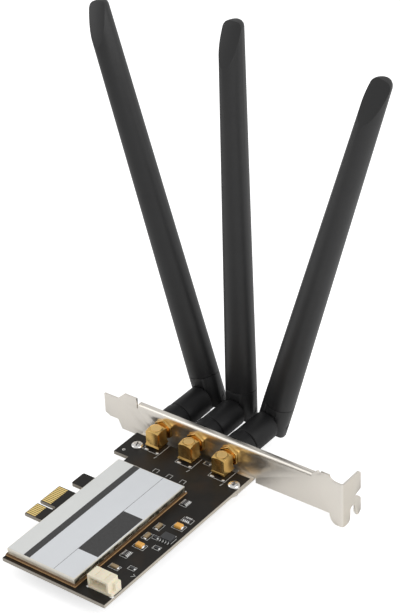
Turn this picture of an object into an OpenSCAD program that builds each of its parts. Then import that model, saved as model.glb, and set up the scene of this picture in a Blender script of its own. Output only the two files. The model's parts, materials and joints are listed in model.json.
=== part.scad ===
// Plug-in wireless network card with a full-height bracket and three folding antennas.
// X runs up the bracket from the contact edge, Y runs out through the bracket,
// Z rises from the component side. The origin is on the component side of the board,
// at the contact edge, on the centre line of the key notch.

/* [Board] */
// Thickness of the board
board_t = 1.6; // [1.2:0.1:2.0]
// Height of the board above the contact edge
board_top_x = 61.9; // [60:0.1:70]
// Height of the board's lower edge above the contact edge
board_low_x = 11.4; // [9:0.1:12.5]
// Distance from the key notch to the board's far end
board_far = 34.9; // [32:0.1:45]
// Gap between the board and the bracket
board_gap = 3.1; // [1:0.1:4]
// Length of the low corner beside the bracket
corner_l = 15.5; // [14:0.1:17]
// Height of the low corner above the contact edge
corner_x = 3.7; // [2:0.1:6]
// Diameter of the small plated hole in the low corner
via_d = 0.9; // [0.4:0.1:1.4]

/* [Contact edge] */
// Length of the contact edge on the bracket side of the key notch
edge_near = 11.65; // [10:0.05:13]
// Length of the contact edge on the far side of the key notch
edge_far = 7.65; // [6.5:0.05:9]
// Width of the key notch
key_w = 1.9; // [1.6:0.05:2.2]
// Depth of the key notch
key_depth = 8.25; // [6:0.05:9]
// Spacing of the contacts
contact_pitch = 1; // [0.8:0.05:1]
// Width of one contact
contact_w = 0.7; // [0.5:0.05:0.75]
// Length of one contact
contact_l = 4.6; // [3:0.1:5]
// Thickness of the gold layer
contact_t = 0.05; // [0.03:0.01:0.1]
// Length of the bevel on the contact edge
bevel_l = 0.5; // [0.4:0.1:1.2]
// Height of the short guide tab above the contact edge
guide_x = 3.0; // [2:0.1:6]
// Length of the short guide tab
guide_l = 7.9; // [6:0.1:9]
// Gap between the guide tab and the contacts
guide_gap = 4.3; // [3.5:0.1:5]

/* [Bracket] */
// Distance from the key notch to the inner face of the bracket
bracket_y = 62.2; // [60:0.1:66]
// Length of the bracket
bracket_l = 120; // [112:0.5:122]
// Thickness of the sheet
sheet_t = 0.86; // [0.7:0.02:1.0]
// Inner radius of every bend
bend_r = 0.4; // [0.3:0.05:0.8]
// Distance of the tongue's end below the contact edge
tongue_reach = 15.5; // [13:0.1:17]
// Width of the tongue
tongue_w = 10.7; // [9:0.1:11]
// Length of the tongue
tongue_l = 7.1; // [6:0.1:9]
// Height of the bracket's raised corners above the board
bracket_up = 14.6; // [13.4:0.1:15.5]
// Depth of the bracket below the component side of the board
bracket_down = 4; // [3.4:0.1:5]
// Height of the stiffening lip above the board
lip_z = 11.9; // [11.2:0.1:12.6]
// How far the lip stands out from the inner face
lip_out = 2.5; // [2:0.1:4]
// Length of the bent tab
tab_l = 12.8; // [11.5:0.1:14]
// Height of the tab above the board
tab_up = 12.1; // [11:0.1:13]
// Depth of the tab below the board
tab_down = 8.7; // [8:0.1:10]
// Width of the open slot for the case screw
slot_w = 3.6; // [3.3:0.05:4.4]
// Depth of the open slot for the case screw
slot_depth = 6.8; // [6:0.1:7.2]
// Distance of the slot's middle from the inner face
slot_y = 6.9; // [6.4:0.1:7.3]
// Length of the two ears under the board
ear_l = 15.5; // [14:0.1:18]
// Width of the ears
ear_w = 8; // [7:0.1:9.5]

/* [Screws] */
// Diameter of the screw thread
screw_d = 3; // [2:0.1:3.2]
// Diameter of the pan head
head_d = 5; // [4.4:0.1:5.6]
// Height of the pan head
head_h = 1.7; // [1.2:0.1:2.2]
// Distance of the screws from the inner face of the bracket
screw_back = 10.9; // [9:0.1:12]
// Height of the lower screw above the contact edge
screw_x = 10.1; // [9:0.1:11]
// Distance between the two screws
screw_span = 49.3; // [48:0.1:50]

/* [Connectors] */
// Height of the lowest connector above the contact edge
conn_x = 16.3; // [15.6:0.1:17]
// Distance between connectors
conn_pitch = 16.8; // [16.4:0.1:17.2]
// Height of the connector axis above the board
conn_z = 5.2; // [4.9:0.1:5.6]
// Width of the connector block
block_w = 6.2; // [5.4:0.1:6.6]
// Distance from the block's middle to the inner face of the bracket
block_back = 5.6; // [5.4:0.1:6.2]
// Outer diameter of the connector thread
thread_d = 6.3; // [6:0.05:6.35]
// Length of the thread past the inner face of the bracket
thread_out = 7.4; // [7:0.1:8]
// Width across the flats of the nuts
nut_w = 8; // [7.4:0.1:8.4]
// Thickness of the inner nut
inner_nut_t = 1.5; // [1.2:0.1:1.7]
// Thickness of the outer nut
outer_nut_t = 1.9; // [1.4:0.1:2]
// Thickness of the lock washer
washer_t = 0.6; // [0.4:0.1:0.8]
// Diameter of the white insulator
insulator_d = 4.1; // [3.8:0.1:4.3]
// Diameter of the centre pin
pin_d = 0.9; // [0.7:0.05:1.0]

/* [Antennas] */
// Diameter of the antenna barrel
barrel_d = 12.4; // [11:0.1:13]
// Distance from the bracket's inner face to the barrel
barrel_start = 9.9; // [9.8:0.1:11]
// Distance from the bracket's inner face to the hinge axis
hinge_out = 31.4; // [29:0.1:34]
// Length of the antenna above the hinge axis
antenna_l = 175; // [150:1:190]
// Width of the antenna at the hinge
foot_w = 13.8; // [13:0.1:14.4]
// Width of the antenna at its tip
tip_w = 8.5; // [7.6:0.1:10]
// Thickness of the antenna
antenna_t = 12.3; // [12:0.1:13]
// Diameter of the hinge pin
hinge_pin_d = 2.4; // [1.8:0.1:3]
// Width of the barrel's hinge tongue
hinge_tongue_w = 5; // [4:0.1:6]
// Height of the seam above the hinge axis
seam_z = 9.6; // [8.6:0.1:12]
// Length of the oblique cut at the tip
tip_cut_l = 17; // [8:0.5:20]
// Lean of the left antenna in degrees
lean_left = -16; // [-30:1:0]
// Lean of the middle antenna in degrees
lean_middle = 0.5; // [-4:0.5:4]
// Lean of the right antenna in degrees
lean_right = 17; // [0:0.5:30]

/* [Radio module] */
// Length of the module board
module_l = 70.4; // [64:0.1:71]
// Width of the module board
module_w = 34.8; // [30:0.1:36]
// Thickness of the module board
module_t = 1.0; // [0.8:0.1:1.4]
// Distance of the module from the inner face of the bracket
module_back = 25.2; // [24:0.1:26]
// Height of the shield over the module board
shield_h = 2.8; // [2:0.1:3.4]
// Thickness of the shield metal
shield_t = 0.2; // [0.15:0.05:0.3]
// Width of the bare rim round the shield
shield_rim = 0.6; // [0.4:0.1:1]
// Thickness of the label
label_t = 0.1; // [0.05:0.05:0.2]

/* [Header] */
// Width of the header
header_w = 11.4; // [10:0.1:11.6]
// Length of the header
header_l = 6; // [5:0.1:7]
// Height of the header
header_h = 6.2; // [5.6:0.1:7]
// Wall of the header
header_wall = 1.0; // [0.8:0.1:1.2]
// Distance of the header from the board's far end
header_in = 4.9; // [3:0.1:8]
// Spacing of the header pins
header_pitch = 2; // [1.5:0.1:2.2]
// Width of a header pin
header_pin_w = 0.5; // [0.4:0.05:0.64]

/* [Hidden] */
$fn = 64;
eps = 0.01;
// Clearance of a pin or thread in a plain hole
hole_play = 0.1;
// Running clearance of a bearing
run_play = 0.06;
// Clearance between moving bodies
body_play = 0.3;

board_near_y = bracket_y - board_gap;
edge_near_y = key_w / 2 + edge_near;
edge_far_y = -key_w / 2 - edge_far;
guide_y = edge_near_y + guide_gap;
module_y = bracket_y - module_back;
module_inset = 0.4;
module_x = board_low_x + module_inset;
shield_x = module_x + shield_rim;
shield_y = module_y - shield_rim;
shield_w = module_w - 2 * shield_rim;
shield_l = module_l - 2 * shield_rim;
shield_top = module_t + shield_h;
bend_ro = bend_r + sheet_t;
bracket_x0 = -tongue_reach;
bracket_x1 = bracket_x0 + bracket_l;
tongue_z0 = -bracket_down + (bracket_up + bracket_down - tongue_w) / 2 + 0.3;
tongue_z1 = tongue_z0 + tongue_w;
ear_xs = [screw_x, screw_x + screw_span];
screw_y = bracket_y - screw_back;
conn_xs = [conn_x, conn_x + conn_pitch, conn_x + 2 * conn_pitch];
leans = [lean_left, lean_middle, lean_right];
block_y = bracket_y - block_back;
outer_y = bracket_y + sheet_t;
hinge_y = bracket_y + hinge_out;
barrel_y0 = bracket_y + barrel_start;
barrel_y1 = hinge_y - antenna_t / 2 - body_play / 2;
coupling_y0 = outer_y + washer_t + outer_nut_t + body_play;
coupling_y1 = barrel_y0 - body_play;
coupling_lip_t = 1.0;
coupling_d = nut_w + 1.2;
plug_d = 5;
collar_d = thread_d - 0.2;
header_y0 = -board_far + header_in;
strip_x = module_x + module_w;
strip_w = board_top_x - strip_x;
// Distance from the header to the board's upper edge
header_edge = 0.4;
header_x0 = board_top_x - header_w - header_edge;
N = 72;

// Shared shapes

function ellipse(a, b) = [for (i = [0:N - 1]) [a * cos(360 * i / N), b * sin(360 * i / N)]];

function arc(cx, cy, rx, ry, a0, a1, n = 8) =
    [for (i = [0:n]) let (a = a0 + (a1 - a0) * i / n) [cx + rx * cos(a), cy + ry * sin(a)]];

// Stands a Z axis shape along Y
module along_y() rotate([-90, 0, 0]) children();

// Stands a Z axis shape along X
module along_x() rotate([0, 90, 0]) children();

// Extrudes an outline drawn in Y and Z along X
module slab_x(x0, len) translate([x0, 0, 0]) rotate([90, 0, 90]) linear_extrude(len) children();

// Connector k's own axis, with Y counted from the inner face of the bracket
module at_connector(k) translate([conn_xs[k], bracket_y, conn_z]) children();

// Antenna k's own axis, leaned over about the connector
module at_antenna(k) at_connector(k) rotate([0, leans[k], 0]) children();

// Antenna k's blade axis, with the origin on the hinge
module at_hinge(k) at_antenna(k) translate([0, hinge_out, 0]) children();

module tube_y(y0, y1, r, bore) {
    translate([0, y0, 0]) along_y() difference() {
        cylinder(h = y1 - y0, r = r);
        translate([0, 0, -1]) cylinder(h = y1 - y0 + 2, r = bore);
    }
}

module rod_y(y0, y1, r) translate([0, y0, 0]) along_y() cylinder(h = y1 - y0, r = r);

// One quarter of a bent sheet, in the quadrant given by two signs
module bend_2d(sx, sy) {
    intersection() {
        difference() {
            circle(r = bend_ro);
            circle(r = bend_r);
        }
        translate([sx > 0 ? 0 : -bend_ro, sy > 0 ? 0 : -bend_ro]) square(bend_ro);
    }
}

// Board

module board_2d() {
    tab_cut = 0.5;
    difference() {
        union() {
            translate([board_low_x, -board_far])
                square([board_top_x - board_low_x, board_far + board_near_y]);
            translate([corner_x, board_near_y - corner_l]) square([board_low_x - corner_x + eps, corner_l]);
            translate([0, edge_far_y]) square([board_low_x + eps, edge_near_y - edge_far_y]);
            polygon([[board_low_x + eps, guide_y], [guide_x + tab_cut, guide_y], [guide_x, guide_y + tab_cut],
                [guide_x, guide_y + guide_l - tab_cut], [guide_x + tab_cut, guide_y + guide_l],
                [board_low_x + eps, guide_y + guide_l]]);
        }
        translate([-1, -key_w / 2]) square([key_depth - key_w / 2 + 1, key_w]);
        translate([key_depth - key_w / 2, 0]) circle(d = key_w);
        translate([(corner_x + screw_x) / 2 - 0.3, board_near_y - corner_l + 3]) circle(d = via_d);
        for (x = ear_xs) translate([x, screw_y]) circle(d = screw_d + 2 * hole_play);
        for (x = conn_xs) {
            translate([x, block_y]) circle(d = pin_d + 2 * hole_play);
            for (i = [-1, 1], j = [-1, 1]) translate([x + i * leg_off, block_y + j * leg_off])
                circle(d = leg_d + 2 * hole_play);
        }
    }
}

module pcb() {
    bevel_z = 0.45;
    bevel_span = edge_near + edge_far + key_w + 2;
    color([0.08, 0.08, 0.09]) difference() {
        translate([0, 0, -board_t]) linear_extrude(board_t) board_2d();
        for (top = [0, 1])
            translate([0, edge_near_y + 1, top ? 0 : -board_t]) mirror([0, 0, top ? 0 : 1])
                rotate([90, 0, 0]) linear_extrude(bevel_span)
                    polygon([[-1, 1], [-1, -bevel_z - 0.4], [bevel_l, 0], [bevel_l, 1]]);
    }
}

module contact_row(y0, len) {
    count = floor((len - contact_w) / contact_pitch + eps) + 1;
    first = (len - (count - 1) * contact_pitch - contact_w) / 2;
    for (i = [0:count - 1], z = [0, -board_t - contact_t])
        translate([bevel_l + 0.1, y0 + first + i * contact_pitch, z]) cube([contact_l, contact_w, contact_t]);
}

module edge_contacts() {
    color([0.9, 0.7, 0.3]) {
        contact_row(key_w / 2, edge_near);
        contact_row(edge_far_y, edge_far);
    }
}

// Bracket

// Distance from a screw to the upper side of its ear
ear_edge = 2.4;
// Cut beside each ear's bend
ear_relief = 0.4;
corner_end = 17.5;
lip_x0 = bracket_x0 + corner_end + 0.5;
lip_x1 = bracket_x1 - 14.9;
lip_fold = lip_z - bend_ro;
ear_fold = -board_t + bend_r;

// Outline of the opening that an ear is folded out of
function ear_window(screw) =
    let (x0 = screw + ear_edge - ear_w - ear_relief, x1 = screw + ear_edge + ear_relief)
    [[x0, -bracket_down], [x0, ear_fold], [x1, ear_fold], [x1, -bracket_down]];

module plate_2d() {
    shoulder = 11;
    flare = 3.4;
    ramp_x = lip_x1 + 2.7;
    nick = 1.1;
    polygon(concat(
        [[bracket_x0, tongue_z0 + 1.3], [bracket_x0 + 2.6, tongue_z0],
            [bracket_x0 + tongue_l - 0.4, tongue_z0], [bracket_x0 + tongue_l + 1.6, -bracket_down]],
        ear_window(ear_xs[0]),
        ear_window(ear_xs[1]),
        arc(bracket_x1 - 3.1, -bracket_down, flare, tab_down - bracket_down, 180, 270),
        [[bracket_x1 - bend_ro, -tab_down], [bracket_x1 - bend_ro, tab_up]],
        arc(bracket_x1 - 2.9, bracket_up, flare + 0.4, bracket_up - tab_up, 270, 180),
        [[ramp_x + 1.5 * nick, bracket_up], [ramp_x + nick, bracket_up - nick], [ramp_x, bracket_up],
            [lip_x1, lip_z], [lip_x1, lip_fold], [lip_x0, lip_fold], [lip_x0, lip_fold - 0.8],
            [bracket_x0 + corner_end, lip_fold - 0.8], [bracket_x0 + corner_end, bracket_up],
            [bracket_x0 + shoulder, bracket_up], [bracket_x0 + tongue_l, tongue_z1],
            [bracket_x0, tongue_z1]]));
}

module tab_2d() {
    corner = 1.2;
    notch_z = 1.5;
    mouth = 2;
    end_y = bracket_y + tab_l;
    slot_lo = bracket_y + slot_y - slot_w / 2;
    slot_hi = slot_lo + slot_w;
    difference() {
        polygon([[bracket_y + bend_ro, -tab_down], [end_y - corner, -tab_down], [end_y, corner - tab_down],
            [end_y, tab_up - corner], [end_y - corner, tab_up], [bracket_y + bend_ro, tab_up]]);
        polygon([[end_y + eps, notch_z + 1.6], [end_y - 4.2, notch_z + 0.5], [end_y - 3.8, notch_z],
            [end_y - 1.5, notch_z - 1.2], [end_y - 0.3, notch_z - 2.5], [end_y + eps, notch_z - 3.1]]);
        translate([bracket_y + slot_y, -tab_down + slot_depth - slot_w / 2]) circle(d = slot_w);
        translate([slot_lo, -tab_down - 1]) square([slot_w, slot_depth - slot_w / 2 + 1]);
        translate([slot_lo - mouth, -tab_down]) difference() {
            translate([0, -1]) square([mouth + eps, mouth + 1]);
            translate([0, mouth]) circle(r = mouth);
        }
        polygon([[slot_hi - eps, -tab_down - 1], [slot_hi + mouth - 0.3, -tab_down - 1],
            [slot_hi + mouth - 0.3, -tab_down], [slot_hi - eps, mouth + 0.5 - tab_down]]);
    }
}

module ear(screw) {
    round_r = 2;
    x0 = screw + ear_edge - ear_w;
    difference() {
        translate([0, 0, -board_t - sheet_t]) linear_extrude(sheet_t) union() {
            translate([x0, bracket_y - ear_l + round_r]) square([ear_w, ear_l - round_r - bend_r]);
            translate([x0 + round_r, bracket_y - ear_l]) square([ear_w - 2 * round_r, round_r + eps]);
            for (x = [x0 + round_r, x0 + ear_w - round_r])
                translate([x, bracket_y - ear_l + round_r]) circle(r = round_r);
        }
        translate([screw, screw_y, -board_t - sheet_t - 1]) cylinder(h = sheet_t + 2, d = screw_d + 0.04);
    }
    slab_x(x0, ear_w) translate([bracket_y - bend_r, -board_t + bend_r]) bend_2d(1, -1);
}

module bracket() {
    color([0.78, 0.76, 0.72]) {
        difference() {
            translate([0, outer_y, 0]) rotate([90, 0, 0]) linear_extrude(sheet_t) plate_2d();
            for (k = [0:2]) at_connector(k) rod_y(-1, sheet_t + 1, thread_d / 2 + hole_play);
        }
        slab_x(lip_x0, lip_x1 - lip_x0) union() {
            translate([bracket_y + bend_ro, lip_fold]) bend_2d(-1, 1);
            translate([bracket_y + bend_ro - eps, lip_z - sheet_t])
                square([lip_out - bend_ro + eps, sheet_t]);
        }
        slab_x(bracket_x1 - sheet_t, sheet_t) tab_2d();
        translate([bracket_x1 - bend_ro, bracket_y + bend_ro, -tab_down])
            linear_extrude(tab_down + tab_up) bend_2d(1, -1);
        for (x = ear_xs) ear(x);
    }
}

module bracket_screws() {
    slot_arm = head_d * 0.3;
    color([0.86, 0.85, 0.83]) for (x = ear_xs) translate([x, screw_y, 0]) {
        difference() {
            rotate_extrude() polygon(concat([[0, 0], [head_d / 2, 0]],
                arc(0, head_h * 0.45, head_d / 2, head_h * 0.55, 0, 90)));
            for (a = [0, 90]) rotate([0, 0, a + 20])
                translate([-slot_arm, -0.35, head_h * 0.45]) cube([2 * slot_arm, 0.7, head_h]);
        }
        translate([0, 0, -board_t - sheet_t - 1.6]) cylinder(h = board_t + sheet_t + 1.6 + eps, d = screw_d);
    }
}

// Connectors

leg_d = 1.3;
leg_off = block_w / 2 - 0.8;
block_rise = 1.6;
block_up = 3.3;
block_low = block_rise - conn_z;
// How far the foot stands out round the block
foot_out = 0.4;
foot_t = 0.9;
// How far the neck behind the block is sunk below the thread
neck_in = 0.75;
cap_d = block_w * 0.7;
cap_t = 0.5;
socket_y = 4.3;
insulator_end = thread_out - 0.5;

module connector_body(k) {
    w = block_w;
    floor_z = -conn_z;
    front_y = -block_back + w / 2;
    color([0.85, 0.65, 0.25]) at_connector(k) difference() {
        union() {
            intersection() {
                translate([-w / 2, -block_back - w / 2, block_low]) cube([w, w, block_up - block_low]);
                translate([0, -block_back, block_low - 1]) rotate_extrude()
                    polygon([[0, 0], [w * 0.75, 0], [w * 0.75, block_up - block_low + 0.1],
                        [w * 0.47, block_up - block_low + 1], [0, block_up - block_low + 1]]);
            }
            translate([0, -block_back, block_low - foot_t / 2])
                linear_extrude(foot_t, scale = w / (w + 2 * foot_out))
                    square(w + 2 * foot_out, center = true);
            rod_y(front_y - 0.3, -inner_nut_t - 0.2, thread_d / 2 - neck_in);
            rod_y(-inner_nut_t - 0.2 - eps, thread_out, thread_d / 2);
            for (s = [-1, 1]) translate([s * (w / 2 - 0.65) - 0.65, -block_back - w / 2 - 0.2, floor_z])
                cube([1.3, w + 0.2, block_rise + eps]);
            for (i = [-1, 1], j = [-1, 1])
                translate([i * leg_off, -block_back + j * leg_off, floor_z - board_t - 0.8])
                    cylinder(h = board_t + 0.8 + eps, d = leg_d);
        }
        rod_y(-block_back, thread_out + 1, insulator_d / 2);
        translate([0, -block_back, block_low - 1]) cylinder(h = -block_low + 1, d = insulator_d);
        translate([0, -block_back, block_up - cap_t]) cylinder(h = cap_t + 1, d = cap_d);
    }
}

module connector_caps() {
    color([0.8, 0.6, 0.25]) for (k = [0:2]) at_connector(k)
        translate([0, -block_back, block_up - cap_t]) cylinder(h = cap_t + 0.12, d = cap_d - 0.02);
}

module connector_insulator(k) {
    color([0.93, 0.92, 0.88]) at_connector(k) difference() {
        union() {
            rod_y(-block_back, insulator_end, insulator_d / 2 - eps);
            translate([0, -block_back, block_low]) cylinder(h = -block_low, d = insulator_d - 2 * eps);
        }
        rod_y(-block_back, insulator_end + 1, pin_d / 2 + eps);
        rod_y(socket_y, insulator_end + 1, contact_r + 0.25);
        translate([0, -block_back, block_low - 1]) cylinder(h = -block_low + 1, d = pin_d + 2 * eps);
    }
}

module connector_pin(k) {
    color([0.9, 0.72, 0.3]) at_connector(k) {
        rod_y(-block_back, insulator_end - 0.6, pin_d / 2);
        translate([0, -block_back, -conn_z - board_t - 0.8]) cylinder(h = conn_z + board_t + 0.8, d = pin_d);
    }
}

module hex_nut(y0, t) {
    translate([0, y0, 0]) along_y() difference() {
        rotate([0, 0, 30]) cylinder(h = t, d = nut_w / cos(30), $fn = 6);
        translate([0, 0, -1]) cylinder(h = t + 2, d = thread_d + 0.04);
    }
}

module inner_nuts() {
    color([0.85, 0.65, 0.25]) for (k = [0:2]) at_connector(k) hex_nut(-inner_nut_t, inner_nut_t);
}

module lock_washers() {
    teeth = 12;
    color([0.8, 0.62, 0.28]) for (k = [0:2]) at_connector(k) difference() {
        tube_y(sheet_t, sheet_t + washer_t, nut_w / 2 + 0.3, thread_d / 2 + 0.1);
        for (i = [0:teeth - 1]) rotate([0, 360 * i / teeth, 0])
            translate([-0.25, sheet_t - 1, nut_w / 2 - 0.5]) cube([0.5, washer_t + 2, 2]);
    }
}

module outer_nuts() {
    color([0.85, 0.65, 0.25]) for (k = [0:2]) at_connector(k) hex_nut(sheet_t + washer_t, outer_nut_t);
}

// Antenna couplings

contact_r = pin_d / 2 + 0.45;
cup_y0 = coupling_y0 - bracket_y;
cup_y1 = coupling_y1 - bracket_y;
cup_lip = cup_y1 - coupling_lip_t;
plug_end = barrel_start + 6;
plug_bore = 1.6;

module coupling_nut(k) {
    color([0.83, 0.68, 0.35]) at_connector(k) difference() {
        rod_y(cup_y0, cup_y1, coupling_d / 2);
        rod_y(cup_y0 - 1, cup_lip, thread_d / 2 + 0.02);
        rod_y(cup_lip - eps, cup_y1 + 1, plug_d / 2 + run_play);
    }
}

module coupling_sleeve(k) {
    r = barrel_d / 2 + 0.2;
    edge = 0.5;
    bore = coupling_d / 2 + 0.02;
    color([0.12, 0.12, 0.12]) at_connector(k) along_y() rotate_extrude()
        polygon([[bore, cup_y0], [r - edge, cup_y0], [r, cup_y0 + edge], [r, cup_y1 - edge],
            [r - edge, cup_y1], [bore, cup_y1]]);
}

module plug(k) {
    color([0.83, 0.68, 0.35]) at_antenna(k) difference() {
        union() {
            rod_y(thread_out + 0.1, cup_lip - 0.1, collar_d / 2);
            rod_y(cup_lip - 0.1 - eps, plug_end, plug_d / 2);
        }
        rod_y(thread_out, plug_end + 1, plug_bore);
    }
}

module contact(k) {
    color([0.9, 0.72, 0.3]) at_antenna(k)
        tube_y(socket_y + 0.3, plug_end - 3, contact_r, pin_d / 2 + 0.05);
}

module barrel(k) {
    r = barrel_d / 2;
    edge = 0.4;
    tongue_r = hinge_tongue_r;
    end = barrel_y1 - bracket_y;
    color([0.12, 0.12, 0.12]) at_antenna(k) difference() {
        union() {
            difference() {
                along_y() rotate_extrude() polygon([[0, barrel_start], [r - edge, barrel_start],
                    [r, barrel_start + edge], [r, end - edge], [r - edge, end], [0, end]]);
                rod_y(barrel_start - 1, plug_end, plug_d / 2 + eps);
            }
            rod_y(cup_lip - 0.1, plug_end + eps, plug_bore - eps);
            slab_x(-hinge_tongue_w / 2, hinge_tongue_w) union() {
                translate([hinge_out, 0]) circle(r = tongue_r);
                translate([end - eps, -tongue_r]) square([hinge_out - end + eps, 2 * tongue_r]);
            }
        }
        rod_y(cup_lip - 1, plug_end - 3, contact_r + eps);
        translate([-hinge_tongue_w, hinge_out, 0]) along_x()
            cylinder(h = 2 * hinge_tongue_w, d = hinge_pin_d + 2 * run_play);
    }
}

// Antenna blades

hinge_tongue_r = antenna_t / 2 - 0.6;
spigot_d = 7.2;
spigot_l = 12;
radiator_d = 4;
radiator_wall = 0.4;
// How far the radiator stands in the knuckle
radiator_seat = 1.6;
// Diameter of the inner rod
rod_d = 1.2;

module hinge_pin(k) {
    len = foot_w - 0.4;
    color([0.6, 0.6, 0.6]) at_hinge(k) translate([-len / 2, 0, 0]) along_x()
        cylinder(h = len, d = hinge_pin_d);
}

// Side view of the slot that the barrel's tongue sweeps through
module slot_2d() {
    r = hinge_tongue_r + body_play;
    circle(r = r);
    translate([-antenna_t, -antenna_t]) square([antenna_t, antenna_t + r]);
    translate([-antenna_t, -antenna_t]) square([antenna_t + r, antenna_t]);
}

module knuckle(k) {
    foot = antenna_t / 2;
    color([0.13, 0.13, 0.13]) at_hinge(k) difference() {
        union() {
            intersection() {
                translate([0, 0, -foot]) linear_extrude(foot + seam_z)
                    polygon(ellipse(foot_w / 2, antenna_t / 2));
                slab_x(-foot_w / 2, foot_w) union() {
                    circle(r = foot);
                    translate([-foot, 0]) square([2 * foot, seam_z + 1]);
                }
            }
            translate([0, 0, seam_z - eps]) cylinder(h = spigot_l + eps, d = spigot_d);
        }
        slab_x(-hinge_tongue_w / 2 - body_play, hinge_tongue_w + 2 * body_play) slot_2d();
        translate([0, 0, seam_z - radiator_seat]) cylinder(h = spigot_l + 3, d = radiator_d + 0.04);
        translate([-foot_w, 0, 0]) along_x() cylinder(h = 2 * foot_w, d = hinge_pin_d + 0.04);
    }
}

module radiator(k) {
    base_z = seam_z - radiator_seat;
    tube_l = antenna_l * 0.3;
    color([0.8, 0.5, 0.3]) at_hinge(k) {
        difference() {
            translate([0, 0, base_z]) cylinder(h = tube_l, d = radiator_d);
            translate([0, 0, base_z - 1]) cylinder(h = tube_l, d = radiator_d - 2 * radiator_wall);
        }
        translate([0, 0, base_z]) cylinder(h = blade_bore_l + radiator_seat - rod_room, d = rod_d);
        translate([0, 0, base_z + antenna_l * 0.5]) cylinder(h = antenna_l * 0.05, d = radiator_d * 0.75);
    }
}

// Radius of the blade's top edge
blade_edge = 2.4;
// Chamfer at the seam
blade_chamfer = 0.25;
// Thickness left beyond the oblique cut
top_flat = 4.8;
// Length of the blade's bore above the seam
blade_bore_l = antenna_l - tip_cut_l - seam_z - 4;
// Room between the inner rod and the end of the bore
rod_room = 3;

function blade_w(z) = foot_w + (tip_w - foot_w) * (z - seam_z) / (antenna_l - seam_z);

// Rings up the blade: height, half width and half thickness
function blade_rings() = let (bays = 6, steps = 4, z0 = seam_z + blade_chamfer, z1 = antenna_l - blade_edge)
    concat(
    [[seam_z, foot_w / 2 - blade_chamfer, antenna_t / 2 - blade_chamfer]],
    [for (i = [0:bays]) let (z = z0 + (z1 - z0) * i / bays) [z, blade_w(z) / 2, antenna_t / 2]],
    [for (i = [1:steps]) let (a = 90 * i / steps, in = blade_edge * (1 - cos(a)))
        [z1 + blade_edge * sin(a), tip_w / 2 - in, antenna_t / 2 - in]]);

module loft(rings) {
    n = len(rings);
    points = [for (r = rings) each [for (p = ellipse(r[1], r[2])) [p[0], p[1], r[0]]]];
    sides = [for (j = [0:n - 2], i = [0:N - 1])
        [j * N + i, (j + 1) * N + i, (j + 1) * N + (i + 1) % N, j * N + (i + 1) % N]];
    bottom = [for (i = [0:N - 1]) i];
    top = [for (i = [N - 1:-1:0]) (n - 1) * N + i];
    polyhedron(points, concat([bottom], sides, [top]), 4);
}

module blade(k) {
    cut_angle = atan((antenna_t - top_flat) / tip_cut_l);
    color([0.13, 0.13, 0.13]) at_hinge(k) difference() {
        loft(blade_rings());
        translate([0, 0, seam_z - 1]) cylinder(h = spigot_l + 1.3, d = spigot_d + 0.1);
        translate([0, 0, seam_z]) cylinder(h = blade_bore_l, d = radiator_d + 1);
        translate([0, -antenna_t / 2, antenna_l - tip_cut_l]) rotate([-cut_angle, 0, 0])
            translate([-foot_w, -2 * antenna_t, -eps]) cube([2 * foot_w, 2 * antenna_t, 3 * tip_cut_l]);
    }
}

// Radio module

module module_board() {
    color([0.45, 0.3, 0.18]) translate([module_x, module_y - module_l, 0])
        cube([module_w, module_l, module_t]);
}

// Hollow box, open at the bottom, with its far low corner at the origin
module can(w, l, z0, z1, wall, roof) {
    difference() {
        translate([0, 0, z0]) cube([w, l, z1 - z0]);
        translate([wall, wall, z0 - 1]) cube([w - 2 * wall, l - 2 * wall, z1 - z0 + 1 - roof]);
    }
}

module at_shield() translate([shield_x, shield_y - shield_l, 0]) children();

module shield_fence() {
    window = 4;
    pitch = 7;
    window_h = shield_h * 0.35;
    fence_w = shield_w - 2 * shield_t - 0.04;
    fence_l = shield_l - 2 * shield_t - 0.04;
    count = floor(fence_l / pitch);
    color([0.7, 0.7, 0.68]) at_shield() translate([shield_t + 0.02, shield_t + 0.02, 0]) difference() {
        can(fence_w, fence_l, module_t, shield_top - shield_t, shield_t, 0);
        for (i = [0:count - 1]) translate([-1, pitch * (i + 0.5), module_t + 0.2])
            cube([fence_w + 2, window, window_h]);
    }
}

module shield_lid() {
    skirt = shield_h * 0.5;
    color([0.82, 0.83, 0.84]) at_shield()
        can(shield_w, shield_l, shield_top - skirt, shield_top, shield_t, shield_t);
}

module module_label() {
    inset = 0.3;
    color([0.9, 0.92, 0.94]) at_shield() translate([inset, inset, shield_top])
        cube([shield_w - 2 * inset, shield_l - 2 * inset, label_t]);
}

chip_room = shield_h - shield_t;

module radio_chip() {
    color([0.15, 0.15, 0.16]) translate([module_x + module_w / 2 - 4.5, module_y - module_l * 0.55, module_t])
        cube([9, 9, chip_room * 0.6]);
}

module amplifier_chips() {
    color([0.18, 0.18, 0.2]) for (i = [0:2])
        translate([module_x + module_w * (0.2 + 0.25 * i), module_y - 12, module_t])
            cube([3, 3, chip_room * 0.45]);
}

module module_crystal() {
    color([0.8, 0.8, 0.78]) translate([module_x + module_w * 0.2, module_y - module_l * 0.75, module_t])
        cube([3.2, 2.5, chip_room * 0.4]);
}

// Header

header_body_w = header_w - 1.4;
header_step = 1.6;

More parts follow.
